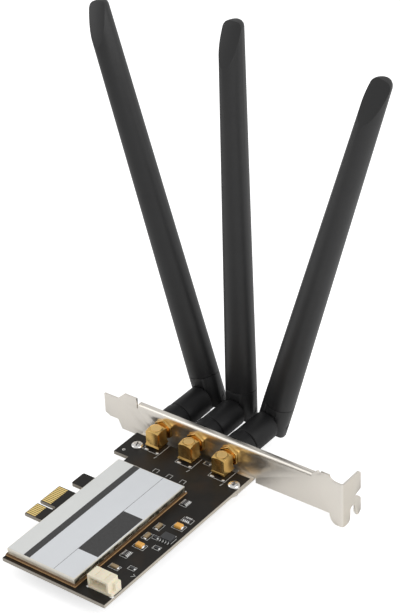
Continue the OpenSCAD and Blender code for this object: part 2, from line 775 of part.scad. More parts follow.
module header_housing() {
    wing_l = 3.2;
    groove = 0.3;
    w = header_body_w;
    color([0.93, 0.88, 0.74]) translate([header_x0, header_y0, 0]) difference() {
        union() {
            cube([w, header_l, header_h]);
            translate([w - eps, header_l - wing_l, 0]) cube([header_w - w + eps, wing_l, header_h * 0.72]);
            translate([w - eps, 0, 0]) cube([header_w - w + eps, header_l, header_h * 0.25]);
        }
        translate([header_wall, -1, header_wall])
            cube([w - 2 * header_wall, header_l - header_step + 1, header_h - 2 * header_wall]);
        for (x = [w * 0.28, w * 0.72]) translate([x, 1.2, header_h - groove])
            cube([groove, header_l - 2, groove + 1]);
        for (i = [0:3]) translate([header_pin_x(i) - 0.02, header_l / 2, header_pin_z - 0.02])
            cube([header_pin_w + 0.04, header_l, header_pin_w + 0.04]);
    }
}

header_pin_z = header_h / 2;

function header_pin_x(i) = header_body_w / 2 + (i - 1.5) * header_pitch - header_pin_w / 2;

module header_pins() {
    reach = 3.2;
    foot = 1.2;
    color([0.85, 0.8, 0.7]) translate([header_x0, header_y0, 0]) for (i = [0:3])
        translate([header_pin_x(i), 0, 0]) {
            translate([0, header_l - header_step - reach, header_pin_z])
                cube([header_pin_w, reach + header_step + header_pin_w + 0.1, header_pin_w]);
            translate([0, header_l + 0.1, 0]) cube([header_pin_w, header_pin_w, header_pin_z + eps]);
            translate([0, header_l + 0.1, 0]) cube([header_pin_w, foot, header_pin_w * 0.6]);
        }
}

// Small parts beside the module

// Place in the strip, as shares of its width and of the module's length
function strip_at(p) = [strip_x + p[0] * strip_w, module_y - p[1] * module_l];

chip_at = strip_at([0.726, 0.388]);
chip_w = 4.9;
chip_l = 3.9;
chip_h = 1.4;

// Size of the orange capacitors
tantalum_w = 3.2;
tantalum_l = 2.4;
tantalum_h = 1.6;
tantalum_edge = 0.4;
// Size of the ceramic capacitors
ceramic_w = 1.6;
ceramic_l = 3.2;
ceramic_h = 0.9;
// Size of the chip resistors
resistor_w = 2;
resistor_l = 1.25;
resistor_h = 0.5;
// Size of the resistor arrays
array_w = 1.8;
array_l = 3.2;
array_h = 0.6;

module block(p, w, l, h) translate([p[0] - w / 2, p[1] - l / 2, 0]) cube([w, l, h]);

module supply_chip() {
    color([0.16, 0.16, 0.16]) translate([0, 0, 0.1]) block(chip_at, chip_w, chip_l, chip_h);
}

module supply_chip_leads() {
    leads = 4;
    pitch = 1.27;
    lead_w = 0.42;
    lead_t = 0.2;
    reach = 1.05;
    color([0.85, 0.85, 0.84]) for (i = [0:leads - 1], side = [-1, 1])
        translate([chip_at[0] + (i - (leads - 1) / 2) * pitch - lead_w / 2, chip_at[1], 0]) scale_y(side) {
            translate([0, chip_l / 2, 0]) cube([lead_w, lead_t, chip_h * 0.6]);
            translate([0, chip_l / 2, 0]) cube([lead_w, reach, lead_t]);
        }
}

// Mirrors a shape across its own XZ plane when the side is negative
module scale_y(side) mirror([0, side < 0 ? 1 : 0, 0]) children();

module bevel_block(p, w, l, h, edge) {
    translate([p[0], p[1], 0]) intersection() {
        translate([-w / 2, l / 2, 0]) rotate([90, 0, 0]) linear_extrude(l)
            polygon([[0, 0], [w, 0], [w, h - edge], [w - edge, h], [edge, h], [0, h - edge]]);
        translate([-w / 2, 0, 0]) rotate([90, 0, 90]) linear_extrude(w)
            polygon([[-l / 2, 0], [l / 2, 0], [l / 2, h - edge], [l / 2 - edge, h],
                [edge - l / 2, h], [-l / 2, h - edge]]);
    }
}

module tantalum_capacitors() {
    color([0.93, 0.62, 0.2]) for (p = [[0.673, 0.27], [0.314, 0.523]])
        bevel_block(strip_at(p), tantalum_w, tantalum_l, tantalum_h, tantalum_edge);
}

module ceramic_capacitors() {
    color([0.75, 0.6, 0.35]) {
        for (p = [[0.235, 0.33], [0.222, 0.432]]) block(strip_at(p), ceramic_w, ceramic_l, ceramic_h);
        block(strip_at([0.294, 0.741]), ceramic_l, ceramic_w, ceramic_h);
    }
}

module chip_resistors() {
    color([0.1, 0.1, 0.1]) {
        for (p = [[0.425, 0.415], [0.712, 0.484], [0.693, 0.697]])
            block(strip_at(p), resistor_w, resistor_l, resistor_h);
        block([(conn_xs[1] + conn_xs[2]) / 2, board_near_y - 1.3], resistor_w, resistor_l, resistor_h);
    }
}

module resistor_arrays() {
    color([0.5, 0.48, 0.45]) {
        for (p = [[0.209, 0.077], [0.216, 0.619]]) block(strip_at(p), array_w, array_l, array_h);
        block(strip_at([0.693, 0.196]), array_l, array_w, array_h);
    }
}

pcb();
edge_contacts();
bracket();
bracket_screws();
module_board();
shield_fence();
shield_lid();
module_label();
radio_chip();
amplifier_chips();
module_crystal();
header_housing();
header_pins();
supply_chip();
supply_chip_leads();
tantalum_capacitors();
ceramic_capacitors();
chip_resistors();
resistor_arrays();
inner_nuts();
lock_washers();
outer_nuts();
connector_caps();
connector_body(0);  // connector_body_left
connector_body(1);  // connector_body_middle
connector_body(2);  // connector_body_right
connector_insulator(0);  // connector_insulator_left
connector_insulator(1);  // connector_insulator_middle
connector_insulator(2);  // connector_insulator_right
connector_pin(0);  // connector_pin_left
connector_pin(1);  // connector_pin_middle
connector_pin(2);  // connector_pin_right
coupling_nut(0);  // coupling_nut_left
coupling_nut(1);  // coupling_nut_middle
coupling_nut(2);  // coupling_nut_right
coupling_sleeve(0);  // coupling_sleeve_left
coupling_sleeve(1);  // coupling_sleeve_middle
coupling_sleeve(2);  // coupling_sleeve_right
plug(0);  // plug_left
plug(1);  // plug_middle
plug(2);  // plug_right
contact(0);  // contact_left
contact(1);  // contact_middle
contact(2);  // contact_right
barrel(0);  // barrel_left
barrel(1);  // barrel_middle
barrel(2);  // barrel_right
hinge_pin(0);  // hinge_pin_left
hinge_pin(1);  // hinge_pin_middle
hinge_pin(2);  // hinge_pin_right
knuckle(0);  // knuckle_left
knuckle(1);  // knuckle_middle
knuckle(2);  // knuckle_right
radiator(0);  // radiator_left
radiator(1);  // radiator_middle
radiator(2);  // radiator_right
blade(0);  // blade_left
blade(1);  // blade_middle
blade(2);  // blade_right
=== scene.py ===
import json
import math

import bmesh
import bpy
from bpy.props import FloatProperty, FloatVectorProperty, IntProperty, PointerProperty
from mathutils import Matrix, Vector

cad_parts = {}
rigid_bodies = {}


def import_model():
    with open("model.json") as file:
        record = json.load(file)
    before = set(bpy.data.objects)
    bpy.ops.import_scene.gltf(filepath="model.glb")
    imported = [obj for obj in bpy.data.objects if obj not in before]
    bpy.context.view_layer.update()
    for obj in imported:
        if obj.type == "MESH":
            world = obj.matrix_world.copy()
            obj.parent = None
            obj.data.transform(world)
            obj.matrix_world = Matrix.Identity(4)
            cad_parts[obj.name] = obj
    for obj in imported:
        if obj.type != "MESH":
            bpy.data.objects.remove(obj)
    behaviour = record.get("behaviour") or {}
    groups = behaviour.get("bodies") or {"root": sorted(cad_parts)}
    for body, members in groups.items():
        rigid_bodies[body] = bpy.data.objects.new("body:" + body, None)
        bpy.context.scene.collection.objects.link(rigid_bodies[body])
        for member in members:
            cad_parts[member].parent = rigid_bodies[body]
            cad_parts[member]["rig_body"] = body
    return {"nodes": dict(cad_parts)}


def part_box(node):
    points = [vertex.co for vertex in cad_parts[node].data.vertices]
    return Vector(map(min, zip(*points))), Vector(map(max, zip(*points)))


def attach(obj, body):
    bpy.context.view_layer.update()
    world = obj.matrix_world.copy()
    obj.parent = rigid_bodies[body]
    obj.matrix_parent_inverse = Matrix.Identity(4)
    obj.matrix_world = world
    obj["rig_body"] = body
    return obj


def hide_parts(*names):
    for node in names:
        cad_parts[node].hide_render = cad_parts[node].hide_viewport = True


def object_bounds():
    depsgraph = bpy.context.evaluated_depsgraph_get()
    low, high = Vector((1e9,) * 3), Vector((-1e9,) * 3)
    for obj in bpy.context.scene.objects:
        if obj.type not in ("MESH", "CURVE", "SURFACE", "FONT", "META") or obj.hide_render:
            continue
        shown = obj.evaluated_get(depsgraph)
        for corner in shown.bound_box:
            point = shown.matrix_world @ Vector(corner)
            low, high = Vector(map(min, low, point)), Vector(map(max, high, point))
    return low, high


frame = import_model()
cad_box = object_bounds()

bl_info = {
    "name": "Wireless card dresser",
    "version": (1, 0, 0),
    "blender": (4, 5, 0),
    "location": "View3D > Sidebar > Card",
    "description": "Dresses the packed card: finishes, outlines, solder, label, floor, light and camera",
    "category": "Object",
}

MM = 0.001
SAME_POINT = 0.002 * MM
SIDES = ("left", "middle", "right")
nodes = frame["nodes"]
finishes = {}


# Sizes read from the frame

def box_mm(node):
    """Lowest and highest corner of a CAD node, in millimetres."""
    lo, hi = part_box(node)
    return lo / MM, hi / MM


def solids_mm(node):
    """Boxes in millimetres, one for each separate solid of a CAD node, in order of place along X."""
    mesh = bmesh.new()
    mesh.from_mesh(nodes[node].data)
    bmesh.ops.remove_doubles(mesh, verts=mesh.verts, dist=SAME_POINT)
    left = set(mesh.verts)
    boxes = []
    while left:
        stack = [left.pop()]
        lo, hi = stack[0].co.copy(), stack[0].co.copy()
        while stack:
            vert = stack.pop()
            lo = Vector(map(min, lo, vert.co))
            hi = Vector(map(max, hi, vert.co))
            for edge in vert.link_edges:
                other = edge.other_vert(vert)
                if other in left:
                    left.discard(other)
                    stack.append(other)
        boxes.append((lo / MM, hi / MM))
    mesh.free()
    return sorted(boxes, key=lambda b: (round(b[0].x, 3), round(b[0].y, 3), round(b[0].z, 3)))


# Shader helpers

def fresh_tree(owner):
    """The empty node tree of a material or a world."""
    owner.use_nodes = True
    owner.node_tree.nodes.clear()
    return owner.node_tree


def add(tree, kind, **props):
    node = tree.nodes.new(kind)
    for name, value in props.items():
        setattr(node, name, value)
    return node


def feed(tree, socket, value):
    """Links a socket to another one, or sets it to a constant."""
    if isinstance(value, bpy.types.NodeSocket):
        tree.links.new(value, socket)
    else:
        socket.default_value = value


def math_node(tree, operation, a, b=0.5, clamp=False):
    node = add(tree, "ShaderNodeMath", operation=operation, use_clamp=clamp)
    feed(tree, node.inputs[0], a)
    feed(tree, node.inputs[1], b)
    return node.outputs[0]


def mix_colour(tree, factor, a, b):
    """Colour a, going over to colour b as the factor goes from 0 to 1."""
    node = add(tree, "ShaderNodeMix", data_type="RGBA")
    feed(tree, node.inputs[0], factor)
    for socket, colour in ((node.inputs[6], a), (node.inputs[7], b)):
        feed(tree, socket, colour if isinstance(colour, bpy.types.NodeSocket) else rgba(colour))
    return node.outputs[2]


def rgba(colour):
    return (colour[0], colour[1], colour[2], 1.0)


def noise(tree, vector, scale, detail, roughness=0.5):
    node = add(tree, "ShaderNodeTexNoise")
    node.inputs["Detail"].default_value = detail
    node.inputs["Roughness"].default_value = roughness
    feed(tree, node.inputs["Scale"], scale)
    tree.links.new(vector, node.inputs["Vector"])
    return node.outputs["Fac"]


def spot_of(tree):
    """Where a point of the surface lies on the part."""
    return add(tree, "ShaderNodeTexCoord").outputs["Object"]


def cloudy(tree, scale, detail=3.0):
    """Noise that is fixed to the part."""
    return noise(tree, spot_of(tree), scale, detail)


def ramp(tree, value, low, high, out_low=0.0, out_high=1.0):
    """A value going in a straight line from one level to another between two limits."""
    node = add(tree, "ShaderNodeMapRange", clamp=True)
    tree.links.new(value, node.inputs["Value"])
    for name, number in (("From Min", low), ("From Max", high), ("To Min", out_low), ("To Max", out_high)):
        feed(tree, node.inputs[name], number)
    return node.outputs["Result"]


def shader_group(name, inputs, outputs):
    """A shader node group with named sockets. Inputs are (name, type, default)."""
    group = bpy.data.node_groups.new(name, "ShaderNodeTree")
    for label, kind, default in inputs:
        socket = group.interface.new_socket(label, in_out="INPUT", socket_type=kind)
        socket.default_value = default
    for label, kind in outputs:
        group.interface.new_socket(label, in_out="OUTPUT", socket_type=kind)
    start, end = add(group, "NodeGroupInput"), add(group, "NodeGroupOutput")
    return group, start.outputs, end.inputs


def use_group(tree, name, **values):
    node = add(tree, "ShaderNodeGroup", node_tree=bpy.data.node_groups[name])
    for label, value in values.items():
        feed(tree, node.inputs[label], value)
    return node.outputs


def swing(group, src, detail, roughness):
    """Noise on both sides of zero, as strong as the group's Amount."""
    wide = noise(group, spot_of(group), src["Scale"], detail, roughness)
    return math_node(group, "MULTIPLY", math_node(group, "SUBTRACT", wide, 0.5), src["Amount"])


def build_shared_groups():
    """Colour mottle, patchy roughness, moulded grain, drawn metal grain and specks."""
    number, colour = "NodeSocketFloat", "NodeSocketColor"

    group, src, dst = shader_group("mottle", [("Colour", colour, (0.5, 0.5, 0.5, 1)), ("Amount", number, 0.1),
                                              ("Scale", number, 200.0)], [("Colour", colour)])
    gain = math_node(group, "ADD", math_node(group, "MULTIPLY", swing(group, src, 4.0, 0.6), 2.0), 1.0)
    scaled = add(group, "ShaderNodeVectorMath", operation="SCALE")
    group.links.new(src["Colour"], scaled.inputs[0])
    group.links.new(gain, scaled.inputs["Scale"])
    group.links.new(scaled.outputs[0], dst["Colour"])

    group, src, dst = shader_group("patchy", [("Roughness", number, 0.4), ("Amount", number, 0.1),
                                              ("Scale", number, 150.0)], [("Roughness", number)])
    total = math_node(group, "ADD", swing(group, src, 5.0, 0.65), src["Roughness"], clamp=True)
    group.links.new(total, dst["Roughness"])

    group, src, dst = shader_group("moulded", [("Scale", number, 3000.0)], [("Height", number)])
    cells = add(group, "ShaderNodeTexVoronoi", feature="SMOOTH_F1")
    cells.inputs["Smoothness"].default_value = 0.6
    group.links.new(spot_of(group), cells.inputs["Vector"])
    group.links.new(src["Scale"], cells.inputs["Scale"])
    fine = cloudy(group, src["Scale"])
    group.links.new(math_node(group, "ADD", cells.outputs["Distance"], fine), dst["Height"])

    group, src, dst = shader_group("drawn", [("Across", number, 6000.0), ("Along", number, 90.0)],
                                   [("Height", number)])
    stretch = add(group, "ShaderNodeCombineXYZ")
    group.links.new(src["Along"], stretch.inputs["X"])
    group.links.new(src["Across"], stretch.inputs["Y"])
    group.links.new(src["Across"], stretch.inputs["Z"])
    pulled = add(group, "ShaderNodeVectorMath", operation="MULTIPLY")
    group.links.new(spot_of(group), pulled.inputs[0])
    group.links.new(stretch.outputs[0], pulled.inputs[1])
    group.links.new(noise(group, pulled.outputs[0], 1.0, 3.0, 0.6), dst["Height"])

    group, src, dst = shader_group("specks", [("Scale", number, 900.0), ("Share", number, 0.1)],
                                   [("Mask", number)])
    edge = math_node(group, "SUBTRACT", 0.8, src["Share"])
    field = cloudy(group, src["Scale"], 2.0)
    group.links.new(ramp(group, field, edge, math_node(group, "ADD", edge, 0.04)), dst["Mask"])


def finish(name, colour, metallic=0.0, roughness=0.4, amount=0.08, scale=200.0, rough_amount=0.08,
           rough_scale=180.0, specular=0.5, coat=0.0, coat_roughness=0.1, subsurface=0.0):
    """A material with mottled colour and patchy roughness. Returns its tree, shader and colour socket."""
    made = bpy.data.materials.new(name)
    tree = fresh_tree(made)
    end = add(tree, "ShaderNodeOutputMaterial")
    shader = add(tree, "ShaderNodeBsdfPrincipled")
    tree.links.new(shader.outputs[0], end.inputs["Surface"])
    base = use_group(tree, "mottle", Colour=rgba(colour), Amount=amount, Scale=scale)["Colour"]
    rough = use_group(tree, "patchy", Roughness=roughness, Amount=rough_amount, Scale=rough_scale)
    tree.links.new(base, shader.inputs["Base Color"])
    tree.links.new(rough["Roughness"], shader.inputs["Roughness"])
    shader.inputs["Metallic"].default_value = metallic
    shader.inputs["Coat Weight"].default_value = coat
    shader.inputs["Coat Roughness"].default_value = coat_roughness
    shader.inputs["Specular IOR Level"].default_value = specular
    if subsurface:
        shader.inputs["Subsurface Weight"].default_value = subsurface
        shader.inputs["Subsurface Scale"].default_value = 0.6 * MM
    finishes[name] = made
    return tree, shader, base


def bump(tree, shader, height, distance_mm, strength):
    """Fine relief from a height, this deep in millimetres where the height is 1."""
    node = add(tree, "ShaderNodeBump")
    node.inputs["Strength"].default_value = strength
    node.inputs["Distance"].default_value = distance_mm * MM
    tree.links.new(height, node.inputs["Height"])
    tree.links.new(node.outputs[0], shader.inputs["Normal"])


def facing(tree, axis):
    """How far the surface faces along an axis of the part, either way, from 0 to 1."""
    normal = add(tree, "ShaderNodeTexCoord").outputs["Normal"]
    split = add(tree, "ShaderNodeSeparateXYZ")
    tree.links.new(normal, split.inputs[0])
    return math_node(tree, "ABSOLUTE", split.outputs[axis])


def place(tree, axis):
    """How far along an axis of the part the surface lies, in metres."""
    split = add(tree, "ShaderNodeSeparateXYZ")
    tree.links.new(spot_of(tree), split.inputs[0])
    return split.outputs[axis]


def specks(tree, scale, share, strength):
    """A mask of small specks over a share of the surface, as strong as asked."""
    return math_node(tree, "MULTIPLY", use_group(tree, "specks", Scale=scale, Share=share)["Mask"], strength)


def paint_over(tree, shader, factor, under, over):
    """Colours the surface with one colour over another by a factor."""
    tree.links.new(mix_colour(tree, factor, under, over), shader.inputs["Base Color"])


# Finishes that need no more than a grain. Each is (name, colour, settings, grain), and a colour given
# as a word is the user's. A grain is (kind, scale, depth in millimetres, strength).
PLAIN_FINISHES = (
    ("connector_gold", "gold_colour",
     dict(metallic=1.0, roughness=0.20, amount=0.10, scale=320.0, rough_amount=0.10, rough_scale=420.0),
     ("cloudy", 700.0, 0.03, 0.25)),
    ("cap_gold", (0.90, 0.62, 0.25),
     dict(metallic=0.8, roughness=0.5, amount=0.08, scale=320.0, rough_amount=0.06),
     ("cloudy", 1400.0, 0.01, 0.3)),
    ("screw_steel", (0.86, 0.84, 0.82),
     dict(metallic=1.0, roughness=0.2, amount=0.08, scale=700.0, rough_amount=0.12, rough_scale=600.0),
     ("cloudy", 1500.0, 0.02, 0.3)),
    ("label_film", "label_colour",
     dict(roughness=0.42, amount=0.035, scale=90.0, rough_amount=0.08, coat=0.25, coat_roughness=0.35),
     ("cloudy", 160.0, 0.03, 0.3)),
    ("label_strip", (0.76, 0.77, 0.755),
     dict(roughness=0.45, amount=0.05, scale=120.0, rough_amount=0.08, coat=0.2, coat_roughness=0.35),
     ("cloudy", 160.0, 0.03, 0.3)),
    ("chip_resin", (0.045, 0.045, 0.047),
     dict(roughness=0.5, amount=0.3, scale=700.0), ("moulded", 6000.0, 0.01, 0.5)),
    ("header_nylon", "header_colour",
     dict(roughness=0.42, amount=0.05, scale=160.0, subsurface=0.12), ("moulded", 2200.0, 0.008, 0.4)),
    ("solder_tin", (0.90, 0.90, 0.89),
     dict(metallic=0.9, roughness=0.36, amount=0.12, scale=900.0, rough_amount=0.2),
     ("cloudy", 1800.0, 0.03, 0.4)),
    ("capacitor_orange", "capacitor_colour",
     dict(roughness=0.34, amount=0.12, scale=420.0, coat=0.2, coat_roughness=0.2),
     ("moulded", 4200.0, 0.008, 0.4)),
    ("ceramic_tan", (0.34, 0.25, 0.14),
     dict(roughness=0.4, amount=0.25, scale=900.0), ("cloudy", 3600.0, 0.01, 0.4)),
    ("array_resin", (0.055, 0.05, 0.05), dict(roughness=0.4, amount=0.3, scale=900.0), None),
    ("insulator_white", (0.80, 0.79, 0.75),
     dict(roughness=0.45, amount=0.04, scale=300.0, subsurface=0.1), None),
    ("barrel_plastic", (0.008, 0.008, 0.0085),
     dict(roughness=0.5, amount=0.25, scale=90.0, rough_amount=0.10, rough_scale=70.0, specular=0.3),
     ("moulded", 3400.0, 0.006, 0.5)),
    ("radiator_copper", (0.72, 0.36, 0.19),
     dict(metallic=1.0, roughness=0.3, amount=0.15, scale=300.0), None),
)
LAMINATE_LAYER = 0.27 * MM
MODULE_LAYER = 1.0 * MM
SHIELD_WALL_TOP = 3.2 * MM


def build_board_finishes(look):
    """The two boards, and what is printed on the board and on the label."""
    tree, shader, base = finish("solder_mask", look.mask_colour, roughness=0.40, amount=0.35, scale=160.0,
                                rough_amount=0.16, rough_scale=120.0, specular=0.2)
    layers = math_node(tree, "SINE", math_node(tree, "MULTIPLY", place(tree, "Z"),
                                               2 * math.pi / LAMINATE_LAYER))
    weave = math_node(tree, "ADD", layers, cloudy(tree, 2600.0))
    edge = mix_colour(tree, ramp(tree, weave, -0.4, 1.6), (0.38, 0.34, 0.28), (0.66, 0.61, 0.53))
    ends = ramp(tree, facing(tree, "Y"), 0.6, 0.9, 0.0, 0.36)
    edge = mix_colour(tree, ends, edge, (0.16, 0.14, 0.125))
    brown = ramp(tree, cloudy(tree, 75.0, 2.0), 0.5, 0.72, 0.0, 0.55)
    mask = mix_colour(tree, brown, base, (0.040, 0.024, 0.013))
    paint_over(tree, shader, ramp(tree, facing(tree, "Z"), 0.9, 0.98), edge, mask)
    bump(tree, shader, cloudy(tree, 900.0, 4.0), 0.02, 0.35)

    tree, shader, _ = finish("module_laminate", (0.40, 0.22, 0.08), roughness=0.5, amount=0.5, scale=420.0)
    turns = math_node(tree, "MULTIPLY", place(tree, "Z"), 2 * math.pi / MODULE_LAYER)
    bands = math_node(tree, "SINE", math_node(tree, "SUBTRACT", turns, 0.6 * math.pi))
    fibre = use_group(tree, "mottle", Colour=(0.66, 0.41, 0.19, 1), Amount=0.5, Scale=330.0)["Colour"]
    edge = mix_colour(tree, ramp(tree, bands, -0.3, 0.8), (0.13, 0.065, 0.028), fibre)
    paint_over(tree, shader, ramp(tree, facing(tree, "Z"), 0.9, 0.98), edge, (0.16, 0.085, 0.035))

    tree, shader, base = finish("silk_ink", look.ink_colour, roughness=0.6, amount=0.12, scale=900.0)
    paint_over(tree, shader, specks(tree, 2600.0, 0.16, 0.35), base, (0.35, 0.34, 0.33))

    tree, shader, base = finish("label_dark", (0.042, 0.041, 0.041), roughness=0.46, amount=0.3, scale=800.0,
                                rough_amount=0.12)
    paint_over(tree, shader, specks(tree, 4200.0, 0.2, 0.2), base, (0.12, 0.12, 0.125))


def build_metal_finishes(look):
    """Contacts, bracket, and the module's shield and fence, with a painted dark, blotched reflection of the
    board on their long sides.
    """
    tree, shader, _ = finish("contact_gold", (1.0, 0.745, 0.28), metallic=0.55, roughness=0.38, amount=0.12,
                             scale=500.0, rough_amount=0.12)
    bump(tree, shader, use_group(tree, "drawn", Across=9000.0, Along=300.0)["Height"], 0.004, 0.3)

    tree, shader, base = finish("bracket_steel", look.steel_colour, metallic=1.0, roughness=0.32, amount=0.05,
                                scale=60.0, rough_amount=0.06, rough_scale=90.0)
    bump(tree, shader, use_group(tree, "drawn", Across=5200.0, Along=70.0)["Height"], 0.003, 0.25)
    scuffed = mix_colour(tree, specks(tree, 420.0, 0.06, 0.18), base, (0.52, 0.50, 0.48))
    paint_over(tree, shader, ramp(tree, facing(tree, "X"), 0.6, 0.9), scuffed, (0.76, 0.71, 0.63))

    tree, shader, base = finish("shield_tin", (0.88, 0.84, 0.74), metallic=0.4, roughness=0.42, amount=0.10,
                                scale=260.0, rough_amount=0.14)
    # Painted reflection: the low part of the lid's long sides is coloured dark and blotched, as if it
    # mirrored the dark board.
    low = ramp(tree, place(tree, "Z"), SHIELD_WALL_TOP, SHIELD_WALL_TOP + 0.3 * MM, 1.0, 0.0)
    low_flank = math_node(tree, "MULTIPLY", ramp(tree, facing(tree, "X"), 0.7, 0.9), low)
    painted_reflection = mix_colour(tree, ramp(tree, cloudy(tree, 420.0), 0.42, 0.60), (0.050, 0.050, 0.034),
                      (0.30, 0.29, 0.23))
    paint_over(tree, shader, low_flank, base, painted_reflection)
    bump(tree, shader, cloudy(tree, 420.0), 0.03, 0.3)

    tree, shader, base = finish("fence_tin", (0.70, 0.64, 0.52), metallic=0.4, roughness=0.42, amount=0.3,
                                scale=420.0, rough_amount=0.2)
    # Painted reflection: the fence's long sides are coloured dark and blotched, as if they mirrored the dark
    # board.
    painted_reflection = mix_colour(tree, ramp(tree, cloudy(tree, 420.0), 0.42, 0.60), (0.035, 0.033, 0.022),
                      (0.20, 0.19, 0.14))
    paint_over(tree, shader, ramp(tree, facing(tree, "X"), 0.7, 0.9), base, painted_reflection)
    bump(tree, shader, cloudy(tree, 900.0), 0.05, 0.4)


def build_finishes(look):
    """Every finish of the card, by name."""
    build_shared_groups()
    build_board_finishes(look)
    build_metal_finishes(look)
    for name, colour, settings, grain in PLAIN_FINISHES:
        if isinstance(colour, str):
            colour = getattr(look, colour)
        tree, shader, _ = finish(name, colour, **settings)
        if grain:
            kind, scale, depth_mm, strength = grain
            height = (cloudy(tree, scale) if kind == "cloudy"
                      else use_group(tree, "moulded", Scale=scale)["Height"])
            bump(tree, shader, height, depth_mm, strength)

    tree, shader, base = finish("antenna_plastic", look.plastic_colour, roughness=0.44, amount=0.25,
                                scale=90.0, rough_amount=0.10, rough_scale=70.0)
    bump(tree, shader, use_group(tree, "moulded", Scale=3400.0)["Height"], 0.006, 0.5)
    paint_over(tree, shader, specks(tree, 1500.0, 0.03, 0.10), base, (0.16, 0.15, 0.14))


# Mesh helpers

# Points of a CAD mesh this near are merged, and faces that turn by less than the flat angle are joined.
# An edge that turns by more than the edge angle is eased, and is sharp where faces are smooth.
NEAR_POINT = 0.003 * MM
FLAT_ANGLE = math.radians(0.4)
EDGE_ANGLE = math.radians(28)
CORNER_STEPS = 3


def mesh_of(name, work):
    """A new mesh made from a bmesh, which is freed."""
    mesh = bpy.data.meshes.new(name)
    work.to_mesh(mesh)
    work.free()
    return mesh


def into_scene(name, data):
    """A new object in the scene."""
    obj = bpy.data.objects.new(name, data)
    bpy.context.scene.collection.objects.link(obj)
    return obj


def finished(name, mesh, material):
    """A new object in the scene with one finish."""
    mesh.materials.clear()
    mesh.materials.append(finishes[material])
    return into_scene(name, mesh)


def settle(obj):
    """Puts the mesh that obj's modifiers make in place of its own, and removes the modifiers."""
    bpy.context.view_layer.update()
    made = bpy.data.meshes.new_from_object(obj.evaluated_get(bpy.context.evaluated_depsgraph_get()))
    obj.modifiers.clear()
    old, name = obj.data, obj.name
    obj.data = made
    made.name = name
    if old.users == 0:
        bpy.data.meshes.remove(old)


def body_of_node(node):
    return nodes[node]["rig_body"]


def dressed(node, material, edge_mm, segments, smooth=True):
    """A merged copy of a CAD node with its edges eased, standing for the node."""
    work = bmesh.new()
    work.from_mesh(nodes[node].data)
    bmesh.ops.remove_doubles(work, verts=work.verts, dist=NEAR_POINT)
    bmesh.ops.dissolve_limit(work, angle_limit=FLAT_ANGLE, verts=work.verts, edges=work.edges)
    obj = finished("eased_" + node, mesh_of("worked_" + node, work), material)
    if edge_mm:
        bevel = obj.modifiers.new("eased_edges", "BEVEL")
        bevel.width = edge_mm * MM
        bevel.segments = segments
        bevel.limit_method = "ANGLE"
        bevel.angle_limit = EDGE_ANGLE
        bevel.use_clamp_overlap = True
        bevel.miter_outer = "MITER_ARC"
        settle(obj)
    if smooth:
        smooth_faces(obj.data)
        obj.data.set_sharp_from_angle(angle=EDGE_ANGLE)
        obj.data.update()
    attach(obj, body_of_node(node))
    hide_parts(node)


def smooth_faces(mesh):
    mesh.polygons.foreach_set("use_smooth", [True] * len(mesh.polygons))


def paint(node, material):
    """Gives a CAD node a finish in each of its own slots."""
    mesh = nodes[node].data
    if not mesh.materials:
        mesh.materials.append(finishes[material])
    for i in range(len(mesh.materials)):
        mesh.materials[i] = finishes[material]


def prism(work, outline, z0, z1):
    """Adds a closed prism over an outline in millimetres, drawn anticlockwise."""
    low = [work.verts.new(Vector((x, y, z0)) * MM) for x, y in outline]
    high = [work.verts.new(Vector((x, y, z1)) * MM) for x, y in outline]
    work.faces.new(list(reversed(low)))
    work.faces.new(high)
    count = len(outline)
    for i in range(count):
        j = (i + 1) % count
        work.faces.new((low[i], low[j], high[j], high[i]))


def rounded(x0, y0, x1, y1, radius):
    """Outline of a rectangle with rounded corners, anticlockwise."""
    out = []
    for cx, cy, start in ((x1 - radius, y1 - radius, 0), (x0 + radius, y1 - radius, 90),
                          (x0 + radius, y0 + radius, 180), (x1 - radius, y0 + radius, 270)):
        for i in range(CORNER_STEPS + 1):
            a = math.radians(start + 90 * i / CORNER_STEPS)
            out.append((cx + radius * math.cos(a), cy + radius * math.sin(a)))
    return out


def turned(centre, points, angle):
    """Points given from a centre, turned anticlockwise about it by an angle in degrees."""
    c, s = math.cos(math.radians(angle)), math.sin(math.radians(angle))
    return [(centre.x + c * x - s * y, centre.y + s * x + c * y) for x, y in points]


def film(name, outline, z0, z1, material, body):
    """A thin printed or laid film with an outline in millimetres."""
    work = bmesh.new()
    prism(work, outline, z0, z1)
    obj = finished(name, mesh_of(name, work), material)
    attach(obj, body)


# Geometry Nodes trees

def geometry_tree(name, inputs):
    """A Geometry Nodes tree with a geometry in and out and named inputs of (name, type, default)."""
    tree = bpy.data.node_groups.new(name, "GeometryNodeTree")
    tree.interface.new_socket("Geometry", in_out="INPUT", socket_type="NodeSocketGeometry")
    for label, kind, default in inputs:
        socket = tree.interface.new_socket(label, in_out="INPUT", socket_type=kind)
        if default is not None:
            socket.default_value = default
    tree.interface.new_socket("Geometry", in_out="OUTPUT", socket_type="NodeSocketGeometry")
    return tree, add(tree, "NodeGroupInput").outputs, add(tree, "NodeGroupOutput").inputs


def close_tree(tree, geometry, material, end):
    """Realize Instances, then Set Material, then the output."""
    real, coat = add(tree, "GeometryNodeRealizeInstances"), add(tree, "GeometryNodeSetMaterial")
    tree.links.new(geometry, real.inputs[0])
    tree.links.new(real.outputs[0], coat.inputs["Geometry"])
    tree.links.new(material, coat.inputs["Material"])
    tree.links.new(coat.outputs[0], end["Geometry"])


def grow(name, mesh, tree_name, values, body):
    """Runs a tree on a base mesh and leaves a plain mesh that rides on a body. The shape it copied goes."""
    obj = into_scene(name, mesh)
    grown = obj.modifiers.new("grown", "NODES")
    tree = bpy.data.node_groups[tree_name]
    grown.node_group = tree
    for item in tree.interface.items_tree:
        if item.in_out == "INPUT" and item.name in values:
            grown[item.identifier] = values[item.name]
    settle(obj)
    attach(obj, body)
    shape = values.get("Shape")
    if shape:
        bpy.data.objects.remove(shape)


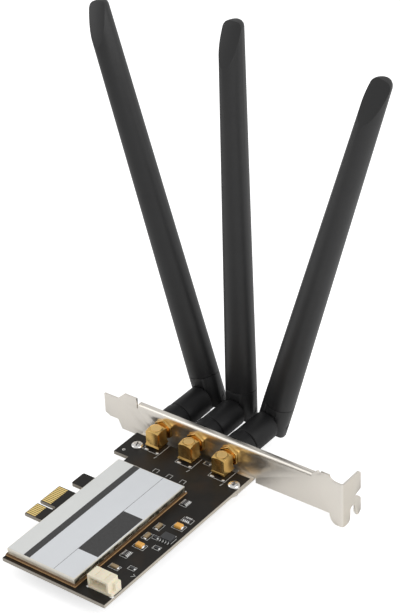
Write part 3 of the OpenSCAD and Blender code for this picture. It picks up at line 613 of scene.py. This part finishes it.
def line_tree():
    """Sweeps a flat section along the edges of the base mesh: printed outlines and the label's rule."""
    tree, src, end = geometry_tree("swept_line", [("Width", "NodeSocketFloat", 0.2 * MM),
                                                  ("Height", "NodeSocketFloat", 0.02 * MM),
                                                  ("Finish", "NodeSocketMaterial", None)])
    curve = add(tree, "GeometryNodeMeshToCurve")
    section = add(tree, "GeometryNodeCurvePrimitiveQuadrilateral")
    flat = add(tree, "GeometryNodeSetCurveNormal", mode="Z_UP")
    sweep = add(tree, "GeometryNodeCurveToMesh")
    tree.links.new(src["Geometry"], curve.inputs["Mesh"])
    tree.links.new(curve.outputs[0], flat.inputs["Curve"])
    tree.links.new(src["Width"], section.inputs["Width"])
    tree.links.new(src["Height"], section.inputs["Height"])
    tree.links.new(flat.outputs[0], sweep.inputs["Curve"])
    tree.links.new(section.outputs[0], sweep.inputs["Profile Curve"])
    sweep.inputs["Fill Caps"].default_value = True
    close_tree(tree, sweep.outputs[0], src["Finish"], end)


def copies_tree():
    """Places a copy of a small shape on each point, stretched as the point says."""
    tree, src, end = geometry_tree("copies_on_points", [("Shape", "NodeSocketObject", None),
                                                        ("Finish", "NodeSocketMaterial", None)])
    shape, spread = add(tree, "GeometryNodeObjectInfo"), add(tree, "GeometryNodeInstanceOnPoints")
    tree.links.new(src["Shape"], shape.inputs["Object"])
    tree.links.new(src["Geometry"], spread.inputs["Points"])
    tree.links.new(shape.outputs["Geometry"], spread.inputs["Instance"])
    stretch = add(tree, "GeometryNodeInputNamedAttribute", data_type="FLOAT_VECTOR")
    stretch.inputs["Name"].default_value = "stretch"
    tree.links.new(stretch.outputs["Attribute"], spread.inputs["Scale"])
    close_tree(tree, spread.outputs[0], src["Finish"], end)


def polylines(name, lines):
    """A mesh of edges. Each line is (points in millimetres, closed)."""
    verts, edges = [], []
    for points, closed in lines:
        first = len(verts)
        verts += [Vector(p) * MM for p in points]
        edges += [(first + i, first + i + 1) for i in range(len(points) - 1)]
        if closed:
            edges.append((len(verts) - 1, first))
    mesh = bpy.data.meshes.new(name)
    mesh.from_pydata(verts, edges, [])
    return mesh


def point_cloud(name, spots):
    """A mesh of points with a stretch each. Spots are (place in millimetres, stretch)."""
    mesh = bpy.data.meshes.new(name)
    mesh.from_pydata([Vector(spot) * MM for spot, _ in spots], [], [])
    attribute = mesh.attributes.new("stretch", "FLOAT_VECTOR", "POINT")
    for item, (_, stretch) in zip(attribute.data, spots):
        item.vector = stretch
    return mesh


def hidden_shape(name, mesh):
    """A pattern shape that copies are made from. It isn't linked to the scene."""
    return bpy.data.objects.new(name, mesh)


def bead_mesh():
    """A unit solder fillet: a low rounded bead with a flat foot, 1 mm long, wide and high."""
    rings = ((0.0, 0.50), (0.30, 0.47), (0.62, 0.38), (0.88, 0.22))
    count, squareness = 12, 4
    work = bmesh.new()
    loops = []
    for height, reach in rings:
        loop = []
        for i in range(count):
            a = 2 * math.pi * i / count
            c, s = math.cos(a), math.sin(a)
            out = reach * (abs(c) ** squareness + abs(s) ** squareness) ** (-1 / squareness)
            loop.append(work.verts.new(Vector((out * c, out * s, height)) * MM))
        loops.append(loop)
    tip = work.verts.new(Vector((0, 0, 1)) * MM)
    for low, high in zip(loops, loops[1:]):
        for i in range(count):
            j = (i + 1) % count
            work.faces.new((low[i], low[j], high[j], high[i]))
    for i in range(count):
        work.faces.new((loops[-1][i], loops[-1][(i + 1) % count], tip))
    work.faces.new(list(reversed(loops[0])))
    mesh = mesh_of("bead", work)
    smooth_faces(mesh)
    return mesh


def ring_mesh(inner, outer, height):
    """A flat plated ring with eased edges, in millimetres."""
    count, shoulder = 24, height * 0.6
    section = ((inner, 0), (outer, 0), (outer, shoulder), (outer - shoulder, height),
               (inner + height - shoulder, height), (inner, shoulder))
    work = bmesh.new()
    loops = []
    for i in range(count):
        a = 2 * math.pi * i / count
        loops.append([work.verts.new(Vector((r * math.cos(a), r * math.sin(a), z)) * MM) for r, z in section])
    for i in range(count):
        here, there = loops[i], loops[(i + 1) % count]
        for k in range(len(section)):
            n = (k + 1) % len(section)
            work.faces.new((here[k], there[k], there[n], here[n]))
    bmesh.ops.recalc_face_normals(work, faces=work.faces)
    return mesh_of("ring", work)


# Places and sizes on the board, in millimetres

INK_LIFT = 0.012
INK_HEIGHT = 0.024
# Outline and tick beside a connector, with X from the connector's axis
CONNECTOR_OUTLINE = ((-3.6, 56.0), (-3.6, 51.4), (4.8, 51.2), (4.8, 58.9))
CONNECTOR_TICK = ((4.4, 48.5), (4.9, 50.2))
# Three open marks beside the module
OPEN_MARK_XS = (25.8, 32.6, 39.4)
OPEN_MARK_W = 2.1
OPEN_MARK_NEAR, OPEN_MARK_FAR = 41.1, 43.3
# A bent mark near the board's outer edge
BENT_MARK = ((59.7, -16.3), (61.1, -15.1), (59.8, -14.6))
# How far the outline of each small part stands off along X, and all of them along Y
OUTLINED = (("tantalum_capacitors", 1.0), ("ceramic_capacitors", 0.75), ("chip_resistors", 0.6),
            ("resistor_arrays", 0.8))
OUTLINE_SIDE = 0.45
# How far the lines on the supply chip's two sides stand off along X
CHIP_MARKS = (0.5, 0.4)

# Solder: shares of a part's width and height, a fillet's reach, and the pads of an array
FILLET_ACROSS, FILLET_UP, FILLET_REACH = 0.96, 0.55, 1.0
ARRAY_PADS, ARRAY_PAD_SHARE, ARRAY_PAD_REACH, ARRAY_PAD_UP = 4, 1 / 6, 1.7, 1.25
# Solder at a connector's feet: X from its axis, Y, and the size along Y and Z
FOOT_SPANS = ((-3.0, -1.0), (2.9, 4.2))
FOOT_Y, FOOT_SIZE = 52.1, (1.0, 0.25)
# Solder under the header's two sides, from its corners, and on the module's corner
HEADER_TAB_XS, HEADER_TAB_Y, HEADER_TAB_SIZE = (-0.3, -0.2), 0.5, (1.6, 1.5, 0.3)
CORNER_BLOB_IN, CORNER_BLOB_SIZE = 0.4, (0.7, 0.7, 0.35)
# The plated hole's place, and its ring's inner and outer radius and height
PLATED_HOLE = (6.6, 46.6, 0)
PLATED_RING = (0.42, 0.68, 0.05)


def connector_axes():
    """X of each connector's axis."""
    boxes = [box_mm("connector_insulator_" + side) for side in SIDES]
    return [(lo.x + hi.x) / 2 for lo, hi in boxes]


def rectangle(x0, y0, x1, y1):
    return [(x0, y0, INK_LIFT), (x1, y0, INK_LIFT), (x1, y1, INK_LIFT), (x0, y1, INK_LIFT)], True


def stroke(points, x0=0.0):
    """An open line through points, with X from x0."""
    return [(x0 + x, y, INK_LIFT) for x, y in points], False


def ink_lines():
    """Outlines of the connectors and small parts, and the marks beside them."""
    lines = []
    for x in connector_axes():
        lines += [stroke(CONNECTOR_OUTLINE, x), stroke(CONNECTOR_TICK, x)]
    for x in OPEN_MARK_XS:
        lines.append(stroke(((0, OPEN_MARK_NEAR), (0, OPEN_MARK_FAR), (OPEN_MARK_W, OPEN_MARK_FAR),
                             (OPEN_MARK_W, OPEN_MARK_NEAR)), x))
    for node, reach in OUTLINED:
        for lo, hi in solids_mm(node):
            lines.append(rectangle(lo.x - reach, lo.y - OUTLINE_SIDE, hi.x + reach, hi.y + OUTLINE_SIDE))
    lo, hi = box_mm("supply_chip")
    for x in (lo.x - CHIP_MARKS[0], hi.x + CHIP_MARKS[1]):
        lines.append(stroke(((0, lo.y), (0, hi.y)), x))
    lines.append(stroke(BENT_MARK))
    return lines


def long_axis(size):
    """0 when a part is longest along X, 1 when it is longest along Y."""
    return 0 if size.x >= size.y else 1


def solder_spots():
    """Places and sizes of the solder at the small parts, the connectors' feet, the header and the module."""
    spots = []
    for node in ("tantalum_capacitors", "ceramic_capacitors", "chip_resistors"):
        for lo, hi in solids_mm(node):
            mid, size = (lo + hi) / 2, hi - lo
            axis = long_axis(size)
            for side in (-1, 1):
                spot = [mid.x, mid.y, 0]
                spot[axis] += side * size[axis] / 2
                reach = [size.x * FILLET_ACROSS, size.y * FILLET_ACROSS, size.z * FILLET_UP]
                reach[axis] = FILLET_REACH
                spots.append((spot, reach))
    for lo, hi in solids_mm("resistor_arrays"):
        mid, size = (lo + hi) / 2, hi - lo
        axis = long_axis(size)
        for i in range(ARRAY_PADS):
            for side in (-1, 1):
                spot = [mid.x, mid.y, 0]
                spot[axis] += (i - (ARRAY_PADS - 1) / 2) * size[axis] / ARRAY_PADS
                spot[1 - axis] += side * size[1 - axis] / 2
                reach = [ARRAY_PAD_REACH, ARRAY_PAD_REACH, size.z * ARRAY_PAD_UP]
                reach[axis] = size[axis] * ARRAY_PAD_SHARE
                spots.append((spot, reach))
    for x in connector_axes():
        for low, high in FOOT_SPANS:
            spots.append(((x + (low + high) / 2, FOOT_Y, 0), (high - low,) + FOOT_SIZE))
    lo, hi = box_mm("header_housing")
    for x in (lo.x + HEADER_TAB_XS[0], hi.x + HEADER_TAB_XS[1]):
        spots.append(((x, lo.y + HEADER_TAB_Y, 0), HEADER_TAB_SIZE))
    hi = box_mm("module_board")[1]
    spots.append(((hi.x - CORNER_BLOB_IN, hi.y - CORNER_BLOB_IN, hi.z), CORNER_BLOB_SIZE))
    return spots


# What a user can change

class CardLook(bpy.types.PropertyGroup):
    mask_colour: FloatVectorProperty(name="Board colour", description="Colour of the board's solder mask",
                                     subtype="COLOR", default=(0.0175, 0.0155, 0.0135), min=0.0, max=1.0)
    ink_colour: FloatVectorProperty(name="Ink colour", description="Colour of the board's printed outlines",
                                    subtype="COLOR", default=(0.72, 0.72, 0.70), min=0.0, max=1.0)
    gold_colour: FloatVectorProperty(name="Gold colour", description="Colour of the antenna connectors",
                                     subtype="COLOR", default=(0.80, 0.52, 0.18), min=0.0, max=1.0)
    steel_colour: FloatVectorProperty(name="Steel colour", description="Colour of the bracket's plating",
                                      subtype="COLOR", default=(0.88, 0.835, 0.765), min=0.0, max=1.0)
    label_colour: FloatVectorProperty(name="Label colour", description="Colour of the module's label",
                                      subtype="COLOR", default=(0.74, 0.76, 0.785), min=0.0, max=1.0)
    header_colour: FloatVectorProperty(name="Header colour", description="Colour of the header's nylon",
                                       subtype="COLOR", default=(0.88, 0.80, 0.62), min=0.0, max=1.0)
    capacitor_colour: FloatVectorProperty(name="Capacitor colour",
                                          description="Colour of the moulded capacitors", subtype="COLOR",
                                          default=(0.84, 0.43, 0.09), min=0.0, max=1.0)
    plastic_colour: FloatVectorProperty(name="Antenna colour",
                                        description="Colour of the blades and knuckles", subtype="COLOR",
                                        default=(0.014, 0.014, 0.0145), min=0.0, max=1.0)
    ink_width: FloatProperty(name="Ink width", description="Width of the printed outlines",
                             subtype="DISTANCE", unit="LENGTH",
                             default=0.22 * MM, min=0.05 * MM, max=0.6 * MM)
    edge: FloatProperty(name="Edge radius", description="Radius of the bracket's eased edges",
                        subtype="DISTANCE", unit="LENGTH", default=0.12 * MM, min=0.0, max=0.3 * MM)
    edge_steps: IntProperty(name="Edge steps", description="Faces across each eased edge",
                            default=2, min=1, max=4)
    floor_gap: FloatProperty(name="Floor gap", description="Gap between the floor and the lowest point",
                             subtype="DISTANCE", unit="LENGTH", default=0.2 * MM, min=0.0, max=20 * MM)
    floor_colour: FloatVectorProperty(name="Floor colour", description="Colour of the floor and backdrop",
                                      subtype="COLOR", default=(0.86, 0.86, 0.86), min=0.0, max=1.0)


class CARD_OT_finishes(bpy.types.Operator):
    """Mix every finish of the card from the colours above"""
    bl_idname = "card.finishes"
    bl_label = "Finishes"

    def execute(self, context):
        build_finishes(context.scene.card_look)
        line_tree()
        copies_tree()
        return {"FINISHED"}


class CARD_OT_board(bpy.types.Operator):
    """Finish the circuit board with its contacts, printed outlines and plated hole"""
    bl_idname = "card.board"
    bl_label = "Board"

    def execute(self, context):
        look = context.scene.card_look
        dressed("pcb", "solder_mask", 0.06, 1, smooth=False)
        paint("edge_contacts", "contact_gold")
        grow("printed_outlines", polylines("printed_outlines", ink_lines()), "swept_line",
             {"Width": look.ink_width, "Height": INK_HEIGHT * MM, "Finish": finishes["silk_ink"]},
             "card")
        ring = hidden_shape("hole_ring", ring_mesh(*PLATED_RING))
        grow("plated_rings", point_cloud("plated_rings", [(PLATED_HOLE, (1, 1, 1))]),
             "copies_on_points", {"Shape": ring, "Finish": finishes["solder_tin"]}, "card")
        return {"FINISHED"}


class CARD_OT_small_parts(bpy.types.Operator):
    """Finish the small parts beside the module and solder them down"""
    bl_idname = "card.small_parts"
    bl_label = "Small parts"

    def execute(self, context):
        dressed("supply_chip", "chip_resin", 0.12, 2)
        paint("supply_chip_leads", "solder_tin")
        dressed("tantalum_capacitors", "capacitor_orange", 0.18, 3)
        dressed("ceramic_capacitors", "ceramic_tan", 0.10, 2)
        dressed("chip_resistors", "chip_resin", 0.06, 2)
        dressed("resistor_arrays", "array_resin", 0.06, 2)
        bead = hidden_shape("solder_bead", bead_mesh())
        grow("solder_fillets", point_cloud("solder_fillets", solder_spots()), "copies_on_points",
             {"Shape": bead, "Finish": finishes["solder_tin"]}, "card")
        dressed("header_housing", "header_nylon", 0.14, 2)
        paint("header_pins", "solder_tin")
        return {"FINISHED"}


# The label's fields, in millimetres: a pale strip, a dark bar beside it, a dark panel and a thin rule
LABEL_MARGIN = 0.05
STRIP_END, STRIP_HEIGHT = 20.5, 0.012
BAR_END, DARK_HEIGHT = 23.6, 0.018
PANEL_START, PANEL_NEAR, PANEL_FAR, PANEL_MARGIN = 35.5, -17.8, 10.2, 0.35
RULE_X, RULE_W, RULE_HEIGHT, RULE_MARGIN = 35.6, 0.16, 0.012, 0.1


class CARD_OT_module(bpy.types.Operator):
    """Finish the shielded radio module and lay its label's plain fields"""
    bl_idname = "card.module"
    bl_label = "Radio module"

    def execute(self, context):
        paint("module_board", "module_laminate")
        paint("shield_fence", "fence_tin")
        dressed("shield_lid", "shield_tin", 0.12, 2)
        dressed("module_label", "label_film", 0.03, 1)
        for node in ("radio_chip", "amplifier_chips"):
            paint(node, "chip_resin")
        paint("module_crystal", "shield_tin")
        lo, hi = box_mm("module_label")
        low_y, high_y, top = lo.y + LABEL_MARGIN, hi.y - LABEL_MARGIN, hi.z
        for name, outline, height, material in (
                ("label_pale_strip", rounded(lo.x + LABEL_MARGIN, low_y, STRIP_END, high_y, 0.15),
                 STRIP_HEIGHT, "label_strip"),
                ("label_dark_bar", rounded(STRIP_END, low_y, BAR_END, high_y, 0.05),
                 DARK_HEIGHT, "label_dark"),
                ("label_dark_panel", rounded(PANEL_START, PANEL_NEAR, hi.x - PANEL_MARGIN, PANEL_FAR, 0.12),
                 DARK_HEIGHT, "label_dark")):
            film(name, outline, top, top + height, material, "card")
        ends = [(RULE_X, y, top + RULE_HEIGHT / 2) for y in (lo.y + RULE_MARGIN, hi.y - RULE_MARGIN)]
        grow("label_rule", polylines("label_rule", [(ends, False)]), "swept_line",
             {"Width": RULE_W * MM, "Height": RULE_HEIGHT * MM, "Finish": finishes["label_dark"]},
             "card")
        return {"FINISHED"}


# Painted shade on the floor of a screw's cross recess: two crossed dark films, as shares of the head and in
# millimetres
RECESS_REACH, RECESS_UP = 0.29, 0.45
RECESS_HALF_W, RECESS_FILM, RECESS_STEP = 0.3, 0.01, 0.004
RECESS_TURNS = (20, 110)


class CARD_OT_bracket(bpy.types.Operator):
    """Finish the slot bracket and its two screws"""
    bl_idname = "card.bracket"
    bl_label = "Bracket"

    def execute(self, context):
        look = context.scene.card_look
        dressed("bracket", "bracket_steel", look.edge / MM, look.edge_steps)
        dressed("bracket_screws", "screw_steel", 0.08, 2)
        # Painted shade: a dark film in each screw's cross recess.
        for number, (lo, hi) in enumerate(solids_mm("bracket_screws")):
            mid, reach = (lo + hi) / 2, (hi.x - lo.x) * RECESS_REACH
            corners = [(-reach, -RECESS_HALF_W), (reach, -RECESS_HALF_W), (reach, RECESS_HALF_W),
                       (-reach, RECESS_HALF_W)]
            for arm, angle in enumerate(RECESS_TURNS):
                low = hi.z * RECESS_UP + RECESS_STEP * arm
                film("screw_recess_%d_%d" % (number, arm), turned(mid, corners, angle), low,
                     low + RECESS_FILM, "chip_resin", "card")
        return {"FINISHED"}


class CARD_OT_connectors(bpy.types.Operator):
    """Finish the gold antenna connectors, their nuts and washers"""
    bl_idname = "card.connectors"
    bl_label = "Connectors"

    def execute(self, context):
        for side in SIDES:
            dressed("connector_body_" + side, "connector_gold", 0.2, 2)
            paint("connector_insulator_" + side, "insulator_white")
            paint("connector_pin_" + side, "contact_gold")
        for node in ("inner_nuts", "outer_nuts"):
            dressed(node, "connector_gold", 0.18, 2)
        dressed("connector_caps", "cap_gold", 0.08, 2)
        paint("lock_washers", "connector_gold")
        return {"FINISHED"}


# Black pieces of each antenna: node, radius of its eased edges, finish
BLACK_PIECES = (("coupling_sleeve_", 0.2, "barrel_plastic"), ("barrel_", 0.2, "barrel_plastic"),
                ("knuckle_", 0.25, "antenna_plastic"), ("blade_", 0.3, "antenna_plastic"))


class CARD_OT_antennas(bpy.types.Operator):
    """Finish the three folding antennas and their couplings"""
    bl_idname = "card.antennas"
    bl_label = "Antennas"

    def execute(self, context):
        for side in SIDES:
            for node, edge, plastic in BLACK_PIECES:
                dressed(node + side, plastic, edge, 2)
            for node in ("coupling_nut_", "plug_", "contact_"):
                paint(node + side, "contact_gold")
            paint("hinge_pin_" + side, "antenna_plastic")
            paint("radiator_" + side, "radiator_copper")
        return {"FINISHED"}


# Light and floor. Reflections see a painted shadow on the floor under the board: each edge of that painted
# shadow is (axis, from, to, level before, level after), in millimetres.
UNDER_BOARD = (("X", -4, 14, 0.0, 1.0), ("X", 42, 64, 1.0, 0.0), ("Y", 62, 66, 1.0, 0.0),
               ("Y", -40, -20, 0.0, 1.0))
UNDER_BOARD_SHADOW_COLOUR = (0.10, 0.085, 0.07)
FLOOR_GLOW_SEEN, FLOOR_GLOW_REFLECTED = 0.62, 0.08
ROOM_LIGHT, ROOM_GLOW_SEEN = 0.67, 0.33
FLOOR_HALF = 6000
LAMP_TARGET = (40, 60, 40)
# Each lamp's name, place and size in millimetres, and power in watts
LAMPS = (("key_lamp", (900, 150, 650), (900, 900), 4.6),
         ("side_lamp", (-900, -300, 500), (500, 700), 1.1))


def seen_directly(tree, path):
    """1 for what the camera sees, also through something clear, and 0 for everything else."""
    return math_node(tree, "ADD", path.outputs["Is Camera Ray"], path.outputs["Is Transmission Ray"],
                     clamp=True)


def backdrop_material(name, colour):
    """A pale floor: it shades softly, looks white to the camera, and has a painted shadow under the board
    that only reflections see.
    """
    made = bpy.data.materials.new(name)
    tree = fresh_tree(made)
    end, shader = add(tree, "ShaderNodeOutputMaterial"), add(tree, "ShaderNodeBsdfPrincipled")
    shader.inputs["Roughness"].default_value = 0.9
    shader.inputs["Specular IOR Level"].default_value = 0.0
    shader.inputs["Emission Color"].default_value = (1, 1, 1, 1)
    path = add(tree, "ShaderNodeLightPath")
    # Painted shadow: under the board the floor is coloured dark for reflections only.
    shade = path.outputs["Is Glossy Ray"]
    for axis, low, high, before, after in UNDER_BOARD:
        inside = ramp(tree, place(tree, axis), low * MM, high * MM, before, after)
        shade = math_node(tree, "MULTIPLY", shade, inside)
    paint_over(tree, shader, shade, colour, UNDER_BOARD_SHADOW_COLOUR)
    lit = math_node(tree, "SUBTRACT", path.outputs["Is Glossy Ray"], shade)
    glow = math_node(tree, "ADD", math_node(tree, "MULTIPLY", seen_directly(tree, path), FLOOR_GLOW_SEEN),
                     math_node(tree, "MULTIPLY", lit, FLOOR_GLOW_REFLECTED))
    tree.links.new(glow, shader.inputs["Emission Strength"])
    tree.links.new(shader.outputs[0], end.inputs["Surface"])
    return made


def lamp(name, place_mm, size_mm, power):
    """A soft rectangular lamp that looks at the middle of the card."""
    data = bpy.data.lights.new(name, "AREA")
    data.shape = "RECTANGLE"
    data.size, data.size_y = size_mm[0] * MM, size_mm[1] * MM
    data.energy = power
    obj = into_scene(name, data)
    obj.location = Vector(place_mm) * MM
    obj.rotation_mode = "QUATERNION"
    obj.rotation_quaternion = (Vector(LAMP_TARGET) - Vector(place_mm)).to_track_quat("-Z", "Y")


# The fitted view: angles in degrees, distance and target in millimetres, focal length and long side in pixels
VIEW = {"azimuth": 38.05, "elevation": 31.99, "roll": -2.75, "distance": 802.0, "focal": 2046.6,
        "target": (37.8, 62.4, 72.0), "long_side": 613, "sensor": 36.0}


def make_camera():
    """The camera at the photograph's angle, from the fitted pinhole view."""
    a, e, r = (math.radians(VIEW[k]) for k in ("azimuth", "elevation", "roll"))
    back = Vector((math.sin(a) * math.cos(e), -math.cos(a) * math.cos(e), math.sin(e)))
    level = Vector((math.cos(a), math.sin(a), 0))
    rise = back.cross(level)
    right = math.cos(r) * level + math.sin(r) * rise
    up = math.cos(r) * rise - math.sin(r) * level
    data = bpy.data.cameras.new("camera")
    data.sensor_width = VIEW["sensor"]
    data.lens = VIEW["focal"] * VIEW["sensor"] / VIEW["long_side"]
    data.clip_start, data.clip_end = 0.01, 20.0
    camera = into_scene("camera", data)
    camera.rotation_mode = "QUATERNION"
    camera.rotation_quaternion = Matrix((right, up, back)).transposed().to_quaternion()
    camera.location = (Vector(VIEW["target"]) + back * VIEW["distance"]) * MM
    bpy.context.scene.camera = camera


class CARD_OT_stage(bpy.types.Operator):
    """Lay the floor, hang the lamps and set the camera"""
    bl_idname = "card.stage"
    bl_label = "Stage"

    def execute(self, context):
        look = context.scene.card_look
        low = cad_box[0].z / MM - look.floor_gap / MM
        work = bmesh.new()
        corners = ((-FLOOR_HALF, -FLOOR_HALF), (FLOOR_HALF, -FLOOR_HALF), (FLOOR_HALF, FLOOR_HALF),
                   (-FLOOR_HALF, FLOOR_HALF))
        work.faces.new([work.verts.new(Vector((x, y, low)) * MM) for x, y in corners])
        floor = into_scene("floor", mesh_of("floor", work))
        floor.data.materials.append(backdrop_material("pale_floor", look.floor_colour))

        world = bpy.data.worlds.new("soft_room")
        tree = fresh_tree(world)
        end, soft = add(tree, "ShaderNodeOutputWorld"), add(tree, "ShaderNodeBackground")
        seen = seen_directly(tree, add(tree, "ShaderNodeLightPath"))
        strength = math_node(tree, "ADD", math_node(tree, "MULTIPLY", seen, ROOM_GLOW_SEEN), ROOM_LIGHT)
        tree.links.new(strength, soft.inputs["Strength"])
        soft.inputs["Color"].default_value = (1, 1, 1, 1)
        tree.links.new(soft.outputs[0], end.inputs["Surface"])
        context.scene.world = world

        for settings in LAMPS:
            lamp(*settings)
        context.scene.view_settings.view_transform = "Standard"
        make_camera()
        return {"FINISHED"}


class CARD_PT_sidebar(bpy.types.Panel):
    """Sizes, colours and steps of the dressed card"""
    bl_label = "Wireless card"
    bl_idname = "CARD_PT_sidebar"
    bl_space_type = "VIEW_3D"
    bl_region_type = "UI"
    bl_category = "Card"

    def draw(self, context):
        column = self.layout.column()
        for name in CardLook.__annotations__:
            column.prop(context.scene.card_look, name)
        for step in STEPS:
            column.operator(step.bl_idname)


STEPS = (CARD_OT_finishes, CARD_OT_board, CARD_OT_small_parts, CARD_OT_module, CARD_OT_bracket,
         CARD_OT_connectors, CARD_OT_antennas, CARD_OT_stage)
CLASSES = (CardLook,) + STEPS + (CARD_PT_sidebar,)


def register():
    for item in CLASSES:
        bpy.utils.register_class(item)
    bpy.types.Scene.card_look = PointerProperty(type=CardLook)


def unregister():
    del bpy.types.Scene.card_look
    for item in reversed(CLASSES):
        bpy.utils.unregister_class(item)


def main():
    register()
    for step in STEPS:
        group, name = step.bl_idname.split(".")
        getattr(getattr(bpy.ops, group), name)()


if __name__ == "__main__":
    main()
